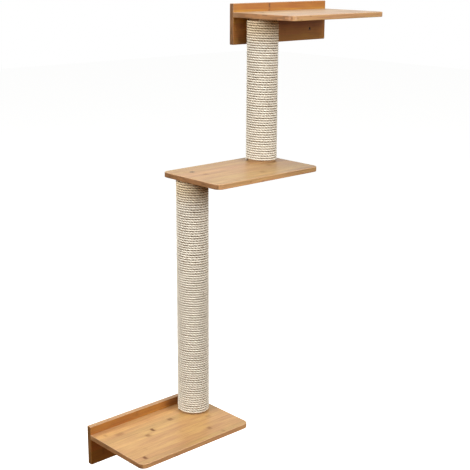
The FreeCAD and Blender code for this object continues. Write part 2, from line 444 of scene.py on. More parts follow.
def board_mesh(name, place, outline, holes):
    """Board from its outline's steps and its holes. place turns (u, v, height) into a point."""
    work = bmesh.new()
    walls = []
    for steps in [outline, *holes]:
        walls.append([[work.verts.new(place(u, v, h)) for u, v in points] for points, h in steps])
    for wall in walls:
        for lower, upper in zip(wall, wall[1:]):
            for i in range(len(lower)):
                j = (i + 1) % len(lower)
                work.faces.new((lower[i], lower[j], upper[j], upper[i])).smooth = True
    for end in (0, -1):
        rims = []
        for wall in walls:
            loop = wall[end]
            rims += [work.edges.get((loop[i - 1], loop[i])) for i in range(len(loop))]
        bmesh.ops.triangle_fill(work, use_beauty=True, edges=rims)
    bmesh.ops.recalc_face_normals(work, faces=work.faces)
    mesh = bpy.data.meshes.new(name)
    work.to_mesh(mesh)
    work.free()
    return mesh


def finish_piece(name, mesh, material, slot, *nodes):
    """Puts a finished mesh on the frame in place of its CAD nodes."""
    mesh.materials.clear()
    mesh.materials.append(material)
    piece = bpy.data.objects.new(name, mesh)
    bpy.context.scene.collection.objects.link(piece)
    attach(piece, BODY)
    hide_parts(*nodes)


# Bamboo finish

# Thickness of a glued layer, and the stretch in which a long edge has its ring
LAYER = 5.0 * MM
INTERNODE = 270.0 * MM

# Cells per metre along the strip, across it and through it, and of the dots in a cut end
STREAK_CELLS = (1 / 0.090, 1 / 0.0032, 1 / 0.0032)
VESSEL_CELLS = (1 / 0.014, 1 / 0.0007, 1 / 0.0007)
CLOUD_CELLS = (1 / 0.11, 1 / 0.030, 1 / 0.030)
DOT_CELLS = 1 / 0.0011

# How far the grain slides from strip to strip, in metres
STRIP_SLIDE = 7.0

# Strength and half length of a ring on a long edge
SIDE_RING = 0.35
SIDE_RING_REACH = 5.0 * MM

# The ramp holds a face's ring lengths as shares of 100 mm. This is half of that
FACE_RING_REACH = 50.0 * MM

# A ring bows by this times the square of the place across its strip, which runs from -0.5 to 0.5,
# and the grain frays it by up to RING_FRAY
RING_BOW = 6.0 * MM
RING_FRAY = 6.0 * MM

# How much of an upper arris is made pale, partly as wear and partly as a painted highlight, and how
# pale
ARRIS_WEAR_AND_HIGHLIGHT = 0.6
WEAR_AND_HIGHLIGHT_PALE = 0.09


def stem_ring(tree, rings, strip, within, chance, is_side, along, fray):
    """Darkness of the stem's rings. A ramp's steps hold place, strength and length for a strip."""
    ramp = add(tree, "ShaderNodeValToRGB")
    ramp.color_ramp.interpolation = "CONSTANT"
    stops = ramp.color_ramp.elements
    while len(stops) < len(rings):
        stops.new(1.0)
    for i, (stop, (ring_at, strength, length)) in enumerate(zip(stops, rings)):
        stop.position = i / len(rings)
        stop.color = (ring_at / 1000, strength, length / 100, 1)
    share = maths(tree, "DIVIDE", maths(tree, "ADD", strip, 0.5), float(len(rings)))
    tree.links.new(share, ramp.inputs["Fac"])
    held = add(tree, "ShaderNodeSeparateColor", {0: ramp.outputs["Color"]}).outputs

    loose = maths(tree, "MULTIPLY", chance, INTERNODE)
    ring_place = mixed(tree, is_side, held[0], loose)
    force = mixed(tree, is_side, held[1], SIDE_RING)
    face_reach = maths(tree, "MULTIPLY", held[2], FACE_RING_REACH)
    reach = mixed(tree, is_side, face_reach, SIDE_RING_REACH)
    bow = maths(tree, "MULTIPLY", within, within)
    bent = maths(tree, "MULTIPLY_ADD", bow, RING_BOW, ring_place)
    frayed = maths(tree, "MULTIPLY_ADD", fray, RING_FRAY, bent)
    distance = maths(tree, "ABSOLUTE", maths(tree, "SUBTRACT", along, frayed))
    spread = maths(tree, "DIVIDE", distance, reach)
    line = ranged(tree, spread, (0.3, 1.0), (0.8, 0.0), smooth=True)
    halo = ranged(tree, spread, (0.0, 3.0), (0.2, 0.0), smooth=True)
    to_edge = maths(tree, "MULTIPLY_ADD", bow, -3.0, 1.0)
    shaped = maths(tree, "MULTIPLY", maths(tree, "ADD", line, halo), to_edge)
    return maths(tree, "MULTIPLY", shaped, force, clamp=True)


def cut_end(tree, place, strip_place, layer, tint, seed):
    """Colour of cut ends: bricks one strip wide and one layer high, dotted with vessels."""
    stepped = maths(tree, "ADD", strip_place, maths(tree, "MULTIPLY", layer, 0.5))
    brick = dice(tree, maths(tree, "FLOOR", stepped), layer, seed)
    brick_tone = ranged(tree, brick["Value"], given=(0.78, 1.28))
    dots = add(tree, "ShaderNodeTexVoronoi", {"Vector": place, "Scale": DOT_CELLS}).outputs
    dot_tone = ranged(tree, dots["Distance"], (0.1, 0.45), (0.7, 1.05))
    return toned(tree, rgba(tint), maths(tree, "MULTIPLY", brick_tone, dot_tone))


def bamboo(node, axes, start, tones, strip_width, seed):
    """Steamed bamboo, strips glued side by side in three layers, sanded and lacquered satin.

    The eye sees long straight grain, strips of slightly different tone, the dark rings where the
    stem's joints were, and brick-like dotted ends.
    axes names the axis across the strips and the one through the board, start is the board's low
    corner, and tones holds the colours of its faces, long edges, stem rings and cut ends.
    """
    flesh_tone, edge_tone, ring_tone, end_tone = tones
    # Painted light: each board's own brightness, saturation and end brightness, and its painted shade
    # towards the right end
    brightness, saturation, end_brightness, right_end_shade = BOARD_PAINTED_LIGHT[node]
    grey = max(flesh_tone)
    flesh_tone = [brightness * (grey + (c - grey) * saturation) for c in flesh_tone]
    # Pale tone of the upper arrises: partly wear, partly a painted highlight
    worn_and_lit_tone = [c + (1 - c) * WEAR_AND_HIGHLIGHT_PALE for c in edge_tone]
    material, tree = new_material("lacquered_bamboo_" + node)
    place = add(tree, "ShaderNodeTexCoord").outputs
    at = split(tree, vector_maths(tree, "SUBTRACT", place["Object"], start))
    along, across, through = at["X"], at[axes[0]], at[axes[1]]

    faced = split(tree, vector_maths(tree, "ABSOLUTE", place["Normal"]))
    is_end = ranged(tree, faced["X"], (0.6, 0.8), smooth=True)
    is_side = ranged(tree, faced[axes[0]], (0.6, 0.8), smooth=True)
    leaning = ranged(tree, faced[axes[1]], (0.2, 0.45), smooth=True)
    not_flat = ranged(tree, faced[axes[1]], (0.8, 0.97), (1.0, 0.0), smooth=True)
    arris = maths(tree, "MULTIPLY", leaning, not_flat)

    strip_place = maths(tree, "DIVIDE", across, strip_width)
    layer_place = maths(tree, "DIVIDE", through, LAYER)
    layer = maths(tree, "FLOOR", layer_place)
    lane = mixed(tree, is_side, strip_place, layer_place)
    strip = maths(tree, "FLOOR", lane)
    within = maths(tree, "SUBTRACT", maths(tree, "FRACT", lane), 0.5)
    chance = dice(tree, strip, is_side, seed)

    # Fine grain, broken at every strip
    slid = maths(tree, "MULTIPLY_ADD", chance["Value"], STRIP_SLIDE, along)
    grain_place = joined(tree, slid, across, through)
    streaks = noise(tree, grain_place, STREAK_CELLS, 3.0, 0.65)["Fac"]
    vessels = noise(tree, grain_place, VESSEL_CELLS, 2.0)["Fac"]
    clouds = noise(tree, grain_place, CLOUD_CELLS, 2.0)["Fac"]
    streak_dark = ranged(tree, streaks, (0.42, 0.75), (0.0, 0.36))
    vessel_dark = ranged(tree, vessels, (0.5, 0.8), (0.0, 0.22))
    fine_dark = maths(tree, "ADD", streak_dark, vessel_dark)

    # Glue lines, darkest at the joint and gone a fortieth of a strip to each side, 0.5 mm on a face
    glue = ranged(tree, maths(tree, "ABSOLUTE", within), (0.475, 0.5), (0.0, 0.22))
    lines_dark = maths(tree, "ADD", fine_dark, glue)
    rings = STEM_RINGS[node]
    ring_dark = stem_ring(tree, rings, strip, within, chance["Value"], is_side, along, streaks)
    dark = maths(tree, "ADD", lines_dark, ring_dark, clamp=True)

    # Tone of each strip and slow clouds along it, and painted shade that darkens the strips towards
    # the right end
    tone = ranged(tree, chance["Value"], given=(0.83, 1.11))
    cloud_tone = ranged(tree, clouds, (0.3, 0.7), (0.90, 1.10))
    low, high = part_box(node)
    length = high.x - low.x
    drift = ranged(tree, along, (0.5 * length, 0.9 * length), (1.0, right_end_shade), smooth=True)
    value = maths(tree, "MULTIPLY", maths(tree, "MULTIPLY", tone, cloud_tone), drift)
    warm = ranged(tree, clouds, (0.3, 0.7), (0.486, 0.5))
    strip_chance = add(tree, "ShaderNodeSeparateColor", {0: chance["Color"]}).outputs[1]
    hue = maths(tree, "MULTIPLY_ADD", strip_chance, 0.014, warm)
    ground = painted(tree, is_side, rgba(flesh_tone), rgba(edge_tone))
    face = painted(tree, dark, toned(tree, ground, value, hue), rgba(ring_tone))

    end_tone = [end_brightness * c for c in end_tone]
    end = cut_end(tree, place["Object"], strip_place, layer, end_tone, seed)
    cut = painted(tree, is_end, face, end)
    # Only upward-facing arrises turn pale: partly wear, partly a painted highlight where the lamps
    # catch them
    upper = ranged(tree, split(tree, place["Normal"])["Z"], (0.0, 0.3), (0.0, ARRIS_WEAR_AND_HIGHLIGHT))
    rubbed_and_lit = maths(tree, "MULTIPLY", arris, upper)
    finish = {
        "Base Color": painted(tree, rubbed_and_lit, cut, rgba(worn_and_lit_tone)),
        "Roughness": ranged(tree, dark, given=(0.38, 0.55)),
        "Normal": bumped(tree, dark, 0.35, 0.25 * MM, sunk=True),
        "IOR": 1.5,
    }
    surfaced(tree, finish)
    return material


# Each board beside the common bamboo colours: brightness and saturation of its faces, brightness of
# its cut ends, and how far its strips darken towards the right end. These are painted light and
# shade, matched against the photograph: they make lit and shaded copies of one bamboo, and the
# darkening towards the right end is painted shade
BOARD_PAINTED_LIGHT = {
    "bottom_shelf": (1.01, 1.0, 1.05, 1.0),
    "middle_shelf": (0.95, 0.97, 0.95, 0.72),
    "top_shelf": (1.18, 0.82, 1.35, 0.9),
    "bottom_wall_board": (0.97, 1.0, 0.82, 1.0),
    "top_wall_board": (0.91, 1.0, 0.95, 0.98),
}

# Stem ring of each strip as (distance from the board's left end, strength, length), from the wall
# side of a shelf and from the lower edge of a wall board. Distances and lengths are in millimetres.
# Rings that show in the photograph are placed to match it, and the rest are invented
STEM_RINGS = {
    "bottom_shelf": (
        (200, 0.05, 12), (27, 0.30, 14), (63, 0.35, 40), (234, 0.55, 24),
        (152, 1.00, 14), (119, 0.50, 22), (333, 0.25, 25), (210, 0.10, 15),
        (64, 0.12, 15), (284, 0.50, 18), (30, 0.95, 14), (303, 0.30, 14),
    ),
    "middle_shelf": (
        (110, 0.10, 12), (230, 0.10, 12), (40, 0.15, 14), (320, 0.12, 14),
        (247, 0.35, 22), (67, 0.35, 24), (297, 0.35, 24), (140, 0.10, 12),
        (20, 0.10, 12), (213, 0.40, 26), (333, 0.10, 14), (75, 0.12, 14),
    ),
    "top_shelf": (
        (60, 0.20, 14), (210, 0.15, 14), (130, 0.30, 18), (300, 0.15, 14),
        (25, 0.20, 14), (170, 0.25, 18), (240, 0.15, 14), (90, 0.30, 18),
        (200, 0.15, 14), (45, 0.25, 18), (150, 0.15, 14), (265, 0.20, 14),
    ),
    "bottom_wall_board": (
        (120, 0.30, 12), (40, 0.30, 12), (200, 0.20, 12), (85, 0.25, 12),
        (255, 0.20, 12), (165, 0.20, 12),
    ),
    "top_wall_board": (
        (70, 0.30, 12), (215, 0.20, 12), (30, 0.30, 12), (260, 0.20, 12),
        (145, 0.90, 9), (146, 0.90, 9),
    ),
}


# Holes

# Places of the wall holes, and the room on each side of a bolt and of a screw
WALL_HOLE_FROM_END = 70.0 * MM
WALL_HOLE_ABOVE_EDGE = 35.0 * MM
BOLT_ROOM = 0.3 * MM
SCREW_ROOM = 0.2 * MM

# Wall boards start their random tones this far from the shelves'
WALL_BOARD_SEED = 10


def post_axis(post):
    """(x, y) of a post's axis."""
    low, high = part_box(post + "_tube")
    return (low.x + high.x) / 2, (low.y + high.y) / 2


def bolt_hole(u, v, thickness, sizes, from_above):
    """Steps of a countersunk bolt hole, from a shelf's underside up."""
    wall = sizes.bolt_shank / 2 + BOLT_ROOM
    head = sizes.bolt_head / 2 + BOLT_ROOM
    sunk = head - wall
    steps = [(wall, 0.0), (wall, thickness - sunk), (head, thickness)]
    if not from_above:
        steps = [(r, thickness - h) for r, h in reversed(steps)]
    return [(circle(u, v, r), h) for r, h in steps]


def screw_places(screws, sizes):
    """(x, z) of the two screws between a shelf and its wall board, from their box."""
    low, high = screws
    inset = sizes.screw_head / 2
    middle = (low.z + high.z) / 2
    return [(low.x + inset, middle), (high.x - inset, middle)]


def screw_hole(u, v, thickness, sizes):
    """Steps of a screw hole, countersunk at the wall side."""
    wall = sizes.screw_shank / 2 + SCREW_ROOM
    head = sizes.screw_head / 2 + SCREW_ROOM
    steps = [(head, 0.0), (wall, head - wall), (wall, thickness)]
    return [(circle(u, v, r), h) for r, h in steps]


def wall_hole_places(low, high):
    """(x, z) of a wall board's two wall holes."""
    z = low.z + WALL_HOLE_ABOVE_EDGE
    return [(low.x + WALL_HOLE_FROM_END, z), (high.x - WALL_HOLE_FROM_END, z)]


def wall_hole(u, v, thickness, sizes):
    """Steps of a wall hole with an eased rim on the room side."""
    radius = sizes.wall_hole / 2
    steps = [(radius, 0.0), (radius, thickness - BACK_ARRIS), (radius + BACK_ARRIS, thickness)]
    return [(circle(u, v, r), h) for r, h in steps]


# Shelves and wall boards


class CATTREE_OT_shelves(bpy.types.Operator):
    """Three bamboo shelves with rounded corners and arrises and countersunk bolt holes"""

    bl_idname = "cattree.shelves"
    bl_label = "Shelves"

    def execute(self, context):
        sizes = context.scene.cat_tree_sizes
        colours = context.scene.cat_tree_colours
        holes = {
            "bottom_shelf": (("lower_post", False),),
            "middle_shelf": (("lower_post", True), ("upper_post", False)),
            "top_shelf": (("upper_post", True),),
        }
        for number, node in enumerate(SHELVES):
            low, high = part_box(node)
            thickness = high.z - low.z
            free = sizes.corner_radius
            held = node != "middle_shelf"
            radii = (free, free, 0.0, 0.0) if held else (free, free, free, free)
            arris = sizes.arris_radius
            outline = [
                (board_outline(low, high, radii, inset, held), height)
                for inset, height in side_steps(thickness, arris, arris)
            ]
            drilled = []
            for post, from_above in holes[node]:
                u, v = post_axis(post)
                drilled.append(bolt_hole(u, v, thickness, sizes, from_above))
            mesh = board_mesh(
                node + "_boards", lambda u, v, h, z=low.z: (u, v, z + h), outline, drilled
            )
            start = (low.x, high.y, low.z)
            tones = (colours.shelf, colours.edge, colours.bamboo_dark, colours.shelf_end)
            finish = bamboo(node, "YZ", start, tones, -sizes.strip_width, sizes.seed + number)
            finish_piece(node + "_strips", mesh, finish, "bamboo", node)
        return {"FINISHED"}


class CATTREE_OT_wall_boards(bpy.types.Operator):
    """Two bamboo boards against the wall with their wall holes and countersunk screw holes"""

    bl_idname = "cattree.wall_boards"
    bl_label = "Wall Boards"

    def execute(self, context):
        sizes = context.scene.cat_tree_sizes
        colours = context.scene.cat_tree_colours
        for number, node in enumerate(WALL_BOARDS):
            low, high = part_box(node)
            thickness = high.y - low.y
            flat_low, flat_high = (low.x, low.z), (high.x, high.z)
            radii = (sizes.arris_radius + BOARD_CORNER,) * 4
            outline = [
                (board_outline(flat_low, flat_high, radii, inset, False), height)
                for inset, height in side_steps(thickness, BACK_ARRIS, sizes.arris_radius)
            ]
            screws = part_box(node.replace("wall_board", "shelf_screws"))
            drilled = [screw_hole(u, v, thickness, sizes) for u, v in screw_places(screws, sizes)]
            drilled += [wall_hole(u, v, thickness, sizes) for u, v in wall_hole_places(low, high)]
            mesh = board_mesh(node + "_board", lambda u, v, h: (u, -h, v), outline, drilled)
            start = (low.x, low.y, low.z)
            tones = (colours.board, colours.edge, colours.bamboo_dark, colours.board_end)
            seed = sizes.seed + WALL_BOARD_SEED + number
            finish = bamboo(node, "ZY", start, tones, sizes.strip_width, seed)
            finish_piece(node + "_strips", mesh, finish, "bamboo", node)
        return {"FINISHED"}


# Sisal windings

# Where the rope's foot end lies round the post, from +X towards the wall. In the frame's own solids
# it lies at 90 degrees
ROPE_START = math.radians(150)

# Section: an arc on the outer side, closed by a chord towards the post
SECTION_SPAN = math.radians(220)
SECTION_START = math.pi - SECTION_SPAN / 2
SECTION_POINTS = 6
RINGS_PER_TURN = 150
STRANDS = 3

# Room between the rope and the tube's side, and from the rope to the tube's head and foot
ROPE_SEAT = 0.1 * MM
ROPE_ROOM = 0.3 * MM
FOOT_GAP = 0.4 * MM

# Span in which the turns wander, the run of rope in metres over which they do, and what separates
# the two posts' random runs
LOOSENESS = 1.6 * MM
DRIFT_RUN = 0.16
POST_SEED = 50

# Cells per metre along the rope, per radian round it and per strand
FIBRE_CELLS = (1 / 0.009, 5.5, 3.7)
PATCH_CELLS = (1 / 0.008, 0.6, 0.9)

# Stand-in for the warm shade below a shelf: the tint of a winding's head, matched against the
# photograph, and where it fades out, in metres below the head
HEAD_SHADE_TINT = (1.0, 0.88, 0.70)
HEAD_FADE = (0.015, 0.085)


def strand_swell(tree, length, angle, turn):
    """Twist round the rope, its angle in strands, and how far the surface swells there."""
    twist = maths(tree, "MULTIPLY_ADD", length, turn, angle)
    strand = maths(tree, "MULTIPLY", twist, STRANDS / 2)
    return twist, strand, maths(tree, "ABSOLUTE", maths(tree, "SINE", strand))


def sisal(colours, lay):
    """Bleached sisal rope, three strands laid up and not polished.

    The eye sees a matt cream rope with darker dips between its strands and deeper ones between its
    turns, hair-fine fibres along it, and bundles that are a little paler or browner. The dips and the
    deeper grooves are painted shade, and the warm darkening of a winding's head below a shelf is
    painted shade too.
    """
    material, tree = new_material("laid_sisal_rope")
    run = add(tree, "ShaderNodeAttribute", attribute_name="rope_run")
    place = split(tree, run.outputs["Vector"])
    length, angle = place["X"], place["Y"]
    twist, strand_turn, swell = strand_swell(tree, length, angle, -2 * math.pi / lay)
    strand = maths(tree, "FLOOR", maths(tree, "DIVIDE", strand_turn, math.pi))

    fibre_place = joined(tree, length, twist, strand)
    fibres = noise(tree, fibre_place, FIBRE_CELLS, 3.0, 0.7)["Fac"]
    patches = noise(tree, fibre_place, PATCH_CELLS, 2.0)
    # Painted shade: the dips between strands and, deeper, the grooves between turns are darkened
    # where shade falls
    strand_dip_shade = ranged(tree, swell, (0.0, 0.68), (0.72, 0.0), smooth=True)
    fibre_dark = ranged(tree, fibres, (0.45, 0.72), (0.0, 0.5))
    to_neighbour = maths(tree, "ABSOLUTE", angle)
    between = ranged(tree, to_neighbour, (0.75, 1.35), (0.0, 0.84), smooth=True)
    patch = add(tree, "ShaderNodeSeparateColor", {0: patches["Color"]}).outputs[1]
    openness = ranged(tree, patch, (0.35, 0.65), (0.45, 1.1))
    turn_gap_shade = maths(tree, "MULTIPLY", between, openness)
    speckled = maths(tree, "ADD", strand_dip_shade, fibre_dark)
    dark = maths(tree, "ADD", speckled, turn_gap_shade, clamp=True)

    tone = ranged(tree, patches["Fac"], (0.3, 0.7), (0.78, 1.12))
    cream = toned(tree, rgba(colours.sisal), tone)
    rope = painted(tree, dark, cream, rgba(colours.sisal_fibre_and_shade))
    under_shelf = ranged(tree, place["Z"], HEAD_FADE, (1.0, 0.0), smooth=True)
    height = maths(tree, "MULTIPLY_ADD", fibres, 0.35, swell)
    finish = {
        "Base Color": painted(tree, under_shelf, rope, rgba(HEAD_SHADE_TINT), blend="MULTIPLY"),
        "Roughness": ranged(tree, fibres, given=(0.78, 0.95)),
        "Normal": bumped(tree, height, 0.6, 0.6 * MM),
        "IOR": 1.45,
    }
    surfaced(tree, finish)
    return material


def post_line(tree, given, rise):
    """Helix round the post, its turns drifting slowly up and down and in and out."""
    radius = given["Winding Radius"]
    spiral_inputs = {
        "Resolution": RINGS_PER_TURN,
        "Rotations": given["Turns"],
        "Start Radius": radius,
        "End Radius": radius,
        "Height": rise,
    }
    spiral = add(tree, "GeometryNodeCurveSpiral", spiral_inputs)
    run = add(tree, "GeometryNodeSplineParameter").outputs["Length"]
    drift_place = maths(tree, "MULTIPLY_ADD", run, 1 / DRIFT_RUN, given["Seed"])
    drift_inputs = {"W": drift_place, "Scale": 1.0, "Detail": 2.0}
    drift = add(tree, "ShaderNodeTexNoise", drift_inputs, noise_dimensions="1D")
    drifts = split(tree, drift.outputs["Color"])
    up = maths(tree, "SUBTRACT", drifts[0], 0.5)
    out = maths(tree, "SUBTRACT", drifts[1], 0.5)
    raise_by = maths(tree, "MULTIPLY", up, given["Looseness"])
    out_by = maths(tree, "MULTIPLY", maths(tree, "MULTIPLY", out, given["Looseness"]), 0.5)
    here = add(tree, "GeometryNodeInputPosition").outputs[0]
    flat = vector_maths(tree, "MULTIPLY", here, (1.0, 1.0, 0.0))
    sideways = scaled(tree, vector_maths(tree, "NORMALIZE", flat), out_by)
    moved = vector_maths(tree, "ADD", sideways, joined(tree, z=raise_by))
    loose_inputs = {"Geometry": spiral.outputs[0], "Offset": moved}
    loosened = add(tree, "GeometryNodeSetPosition", loose_inputs)
    stood_inputs = {
        "Geometry": loosened.outputs[0],
        "Translation": vector_maths(tree, "ADD", given["Axis"], joined(tree, z=given["Foot"])),
        "Rotation": (0.0, 0.0, ROPE_START),
    }
    stood = add(tree, "GeometryNodeTransform", stood_inputs)
    return add(tree, "GeometryNodeSetCurveNormal", {"Curve": stood.outputs[0]}, mode="Z_UP")


def rope_section(tree, radius):
    """Section of the rope, closed by a chord towards the post, that keeps the angle round it."""
    arc_inputs = {
        "Resolution": SECTION_POINTS,
        "Radius": radius,
        "Start Angle": SECTION_START,
        "Sweep Angle": SECTION_SPAN,
    }
    arc = add(tree, "GeometryNodeCurveArc", arc_inputs)
    closed_inputs = {"Geometry": arc.outputs[0], "Cyclic": True}
    closed = add(tree, "GeometryNodeSetSplineCyclic", closed_inputs)
    corner = add(tree, "GeometryNodeInputIndex").outputs[0]
    step = SECTION_SPAN / (SECTION_POINTS - 1)
    angle = maths(tree, "MULTIPLY_ADD", corner, step, -SECTION_SPAN / 2)
    section = add(tree, "GeometryNodeCaptureAttribute", {"Geometry": closed.outputs[0]})
    section.capture_items.new("FLOAT", "Angle")
    tree.links.new(angle, section.inputs["Angle"])
    return section.outputs


def winding_tree():
    """Nodes that wind a laid rope round an upright post as one unbroken run."""
    sizes = ("Foot", "Winding Radius", "Pitch", "Turns", "Rope Radius", "Lay", "Strand Depth")
    numbers = {name: "Float" for name in (*sizes, "Looseness", "Seed")}
    inputs = {"Axis": "Vector", **numbers, "Material": "Material"}
    tree, given = new_group("Sisal Winding", inputs)
    rise = maths(tree, "MULTIPLY", given["Pitch"], given["Turns"])
    line = post_line(tree, given, rise)
    kept = add(tree, "GeometryNodeCaptureAttribute", {"Geometry": line.outputs[0]})
    kept.capture_items.new("VECTOR", "Centre")
    kept.capture_items.new("FLOAT", "Length")
    centre = add(tree, "GeometryNodeInputPosition").outputs[0]
    along = add(tree, "GeometryNodeSplineParameter").outputs["Length"]
    tree.links.new(centre, kept.inputs["Centre"])
    tree.links.new(along, kept.inputs["Length"])
    section = rope_section(tree, given["Rope Radius"])
    rope_inputs = {"Curve": kept.outputs[0], "Profile Curve": section[0], "Fill Caps": True}
    rope = add(tree, "GeometryNodeCurveToMesh", rope_inputs)

    # Grooves between the three strands
    length, angle = kept.outputs["Length"], section["Angle"]
    turns = maths(tree, "DIVIDE", length, given["Lay"])
    swell = strand_swell(tree, turns, angle, -2 * math.pi)[2]
    hollow = maths(tree, "SUBTRACT", 1.0, swell)
    depth = maths(tree, "MULTIPLY", hollow, given["Strand Depth"])
    skin = add(tree, "GeometryNodeInputPosition").outputs[0]
    spoke = vector_maths(tree, "SUBTRACT", kept.outputs["Centre"], skin)
    pressed = scaled(tree, vector_maths(tree, "NORMALIZE", spoke), depth)
    laid_inputs = {"Geometry": rope.outputs[0], "Offset": pressed}
    laid = add(tree, "GeometryNodeSetPosition", laid_inputs)

    # Length along the rope, angle round it and distance below its head, for the finish
    above_foot = maths(tree, "SUBTRACT", split(tree, skin)["Z"], given["Foot"])
    below_head = maths(tree, "SUBTRACT", rise, above_foot)
    run = joined(tree, length, angle, below_head)
    mark_inputs = {"Geometry": laid.outputs[0], "Name": "rope_run", "Value": run}
    marked = add(
        tree,
        "GeometryNodeStoreNamedAttribute",
        mark_inputs,
        data_type="FLOAT_VECTOR",
        domain="POINT",
    )
    smooth = add(tree, "GeometryNodeSetShadeSmooth", {"Geometry": marked.outputs[0]})
    close_group(tree, smooth.outputs[0], given["Material"])
    return tree


def grown(name, tree, values, start=None):
    """Plain mesh that a node tree makes from its named inputs."""
    host = bpy.data.objects.new(name + "_host", start or bpy.data.meshes.new(name + "_host"))
    bpy.context.scene.collection.objects.link(host)
    modifier = host.modifiers.new("nodes", "NODES")
    modifier.node_group = tree
    sockets = {
        item.name: item.identifier
        for item in tree.interface.items_tree
        if item.item_type == "SOCKET" and item.in_out == "INPUT"
    }
    for label, value in values.items():
        modifier[sockets[label]] = value
    depsgraph = bpy.context.evaluated_depsgraph_get()
    mesh = bpy.data.meshes.new_from_object(host.evaluated_get(depsgraph))
    bpy.data.objects.remove(host)
    mesh.name = name
    return mesh


class CATTREE_OT_windings(bpy.types.Operator):
    """Both posts wound from foot to head with one unbroken run of three-strand sisal rope"""

    bl_idname = "cattree.windings"
    bl_label = "Windings"

    def execute(self, context):
        sizes = context.scene.cat_tree_sizes
        finish = sisal(context.scene.cat_tree_colours, sizes.rope_lay)
        tree = winding_tree()
        radius = sizes.rope_diameter / 2
        for number, post in enumerate(POSTS):
            low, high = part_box(post + "_tube")
            foot = low.z + radius + FOOT_GAP
            head = high.z - radius - ROPE_ROOM
            turns = (head - foot) / sizes.rope_pitch
            x, y = post_axis(post)
            values = {
                "Axis": (x, y, 0.0),
                "Foot": foot,
                "Winding Radius": (high.x - low.x) / 2 + ROPE_SEAT + radius,
                "Pitch": sizes.rope_pitch,
                "Turns": turns,
                "Rope Radius": radius,
                "Lay": sizes.rope_lay,
                "Strand Depth": sizes.strand_depth,
                "Looseness": LOOSENESS,
                "Seed": float(sizes.seed + POST_SEED * number),
                "Material": finish,
            }
            mesh = grown(post + "_winding", tree, values)
            if not mesh.polygons:
                raise RuntimeError("the winding came out empty")
            finish_piece(post + "_winding", mesh, finish, "sisal_rope", post + "_rope")
        return {"FINISHED"}


# Tubes and plugs inside the posts

# Width of the wound paper band, of the dark line at its seam, and the band's slope
BAND = 90.0 * MM
SEAM = 1.2 * MM
BAND_SLOPE = 0.6

# Flecks in the paper, in cells per metre
FLECK_CELLS = 1 / 0.002

# Scale of the wave that draws the plug's growth rings. It repeats every 2.8 mm
GROWTH_WAVE = 1 / 0.009


def cardboard(colours):
    """Spiral wound cardboard tube of unbleached kraft paper, glued and left bare.

    The eye sees a matt brown paper with faint fibre flecks and the edges of the wound band.
    """
    material, tree = new_material("kraft_cardboard")
    place = add(tree, "ShaderNodeTexCoord").outputs["Object"]
    at = split(tree, place)
    slope = maths(tree, "MULTIPLY_ADD", at["X"], BAND_SLOPE, at["Z"])
    seam = ranged(tree, maths(tree, "WRAP", slope, BAND), (0.0, SEAM), (0.45, 0.0))
    fleck_inputs = {"Vector": place, "Scale": FLECK_CELLS, "Detail": 4.0}
    flecks = add(tree, "ShaderNodeTexNoise", fleck_inputs).outputs["Fac"]
    dark = maths(tree, "ADD", seam, ranged(tree, flecks, (0.4, 0.8), (0.0, 0.35)))
    finish = {
        "Base Color": painted(tree, dark, rgba(colours.cardboard), rgba(colours.cardboard, 0.45)),
        "Roughness": 0.9,
        "Normal": bumped(tree, dark, 0.4, 0.3 * MM, sunk=True),
    }
    surfaced(tree, finish)
    return material


def softwood(colours):
    """Turned pine plug, left raw.

    The eye sees growth rings across its face and a dull dry surface.
    """
    material, tree = new_material("turned_pine")
    ring_inputs = {
        "Vector": add(tree, "ShaderNodeTexCoord").outputs["Object"],
        "Scale": GROWTH_WAVE,
        "Distortion": 2.5,
        "Detail": 2.0,
        "Detail Scale": 0.6,
    }
    wave = add(tree, "ShaderNodeTexWave", ring_inputs, wave_type="BANDS", bands_direction="Y")
    rings = wave.outputs["Fac"]
    finish = {
        "Base Color": painted(tree, rings, rgba(colours.plug, 0.72), rgba(colours.plug)),
        "Roughness": ranged(tree, rings, given=(0.85, 0.7)),
    }
    surfaced(tree, finish)
    return material


def dress_nodes(names, material):
    """Gives CAD nodes whose shapes stay as they are their finish."""
    for name in names:
        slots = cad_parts[name].material_slots
        if not slots:
            raise RuntimeError(name + " has no material slot")
        for held in slots:
            held.material = material


class CATTREE_OT_post_cores(bpy.types.Operator):
    """Finishes of the cardboard tubes and the wooden plugs in their ends"""

    bl_idname = "cattree.post_cores"
    bl_label = "Post Cores"

    def execute(self, context):
        colours = context.scene.cat_tree_colours
        dress_nodes([post + "_tube" for post in POSTS], cardboard(colours))
        dress_nodes([post + "_plugs" for post in POSTS], softwood(colours))
        return {"FINISHED"}


# Bolts, nuts and screws

# Facets round a fastener, rows in a turn of its thread, and the rounding of its head's rim
FASTENER_STEPS = 36
THREAD_STEPS = 6
RIM_EASE = 0.25 * MM

# Sockets and threads that go with the sizes of the bolts and screws
KEY_DEPTH = 3.0 * MM
CROSS_REACH = 2.6 * MM
CROSS_WING = 1.2 * MM
CROSS_DEPTH = 2.2 * MM
CROSS_TAPER = 0.45
BOLT_THREAD = (1.25 * MM, 0.6 * MM)
SCREW_THREAD = (2.5 * MM, 0.9 * MM)
SCREW_TIP = 6.0 * MM


def plated_steel(name, steel, shade, mark):
    """Steel plated with bright or black zinc, with rub marks of a given size.

    The eye sees a grey or dark brown metal with soft reflections, duller in fine patches.
    """
    material, tree = new_material(name)
    place = add(tree, "ShaderNodeTexCoord").outputs["Object"]
    mark_inputs = {"Vector": place, "Scale": 1 / mark, "Detail": 4.0}
    marks = add(tree, "ShaderNodeTexNoise", mark_inputs).outputs["Fac"]
    tone = ranged(tree, marks, (0.3, 0.7), (0.8, 1.05))
    finish = {
        "Base Color": toned(tree, rgba(steel, shade), tone),
        "Metallic": 1.0,
        "Roughness": ranged(tree, marks, (0.3, 0.7), (0.26, 0.42)),
    }
    surfaced(tree, finish)
    return material


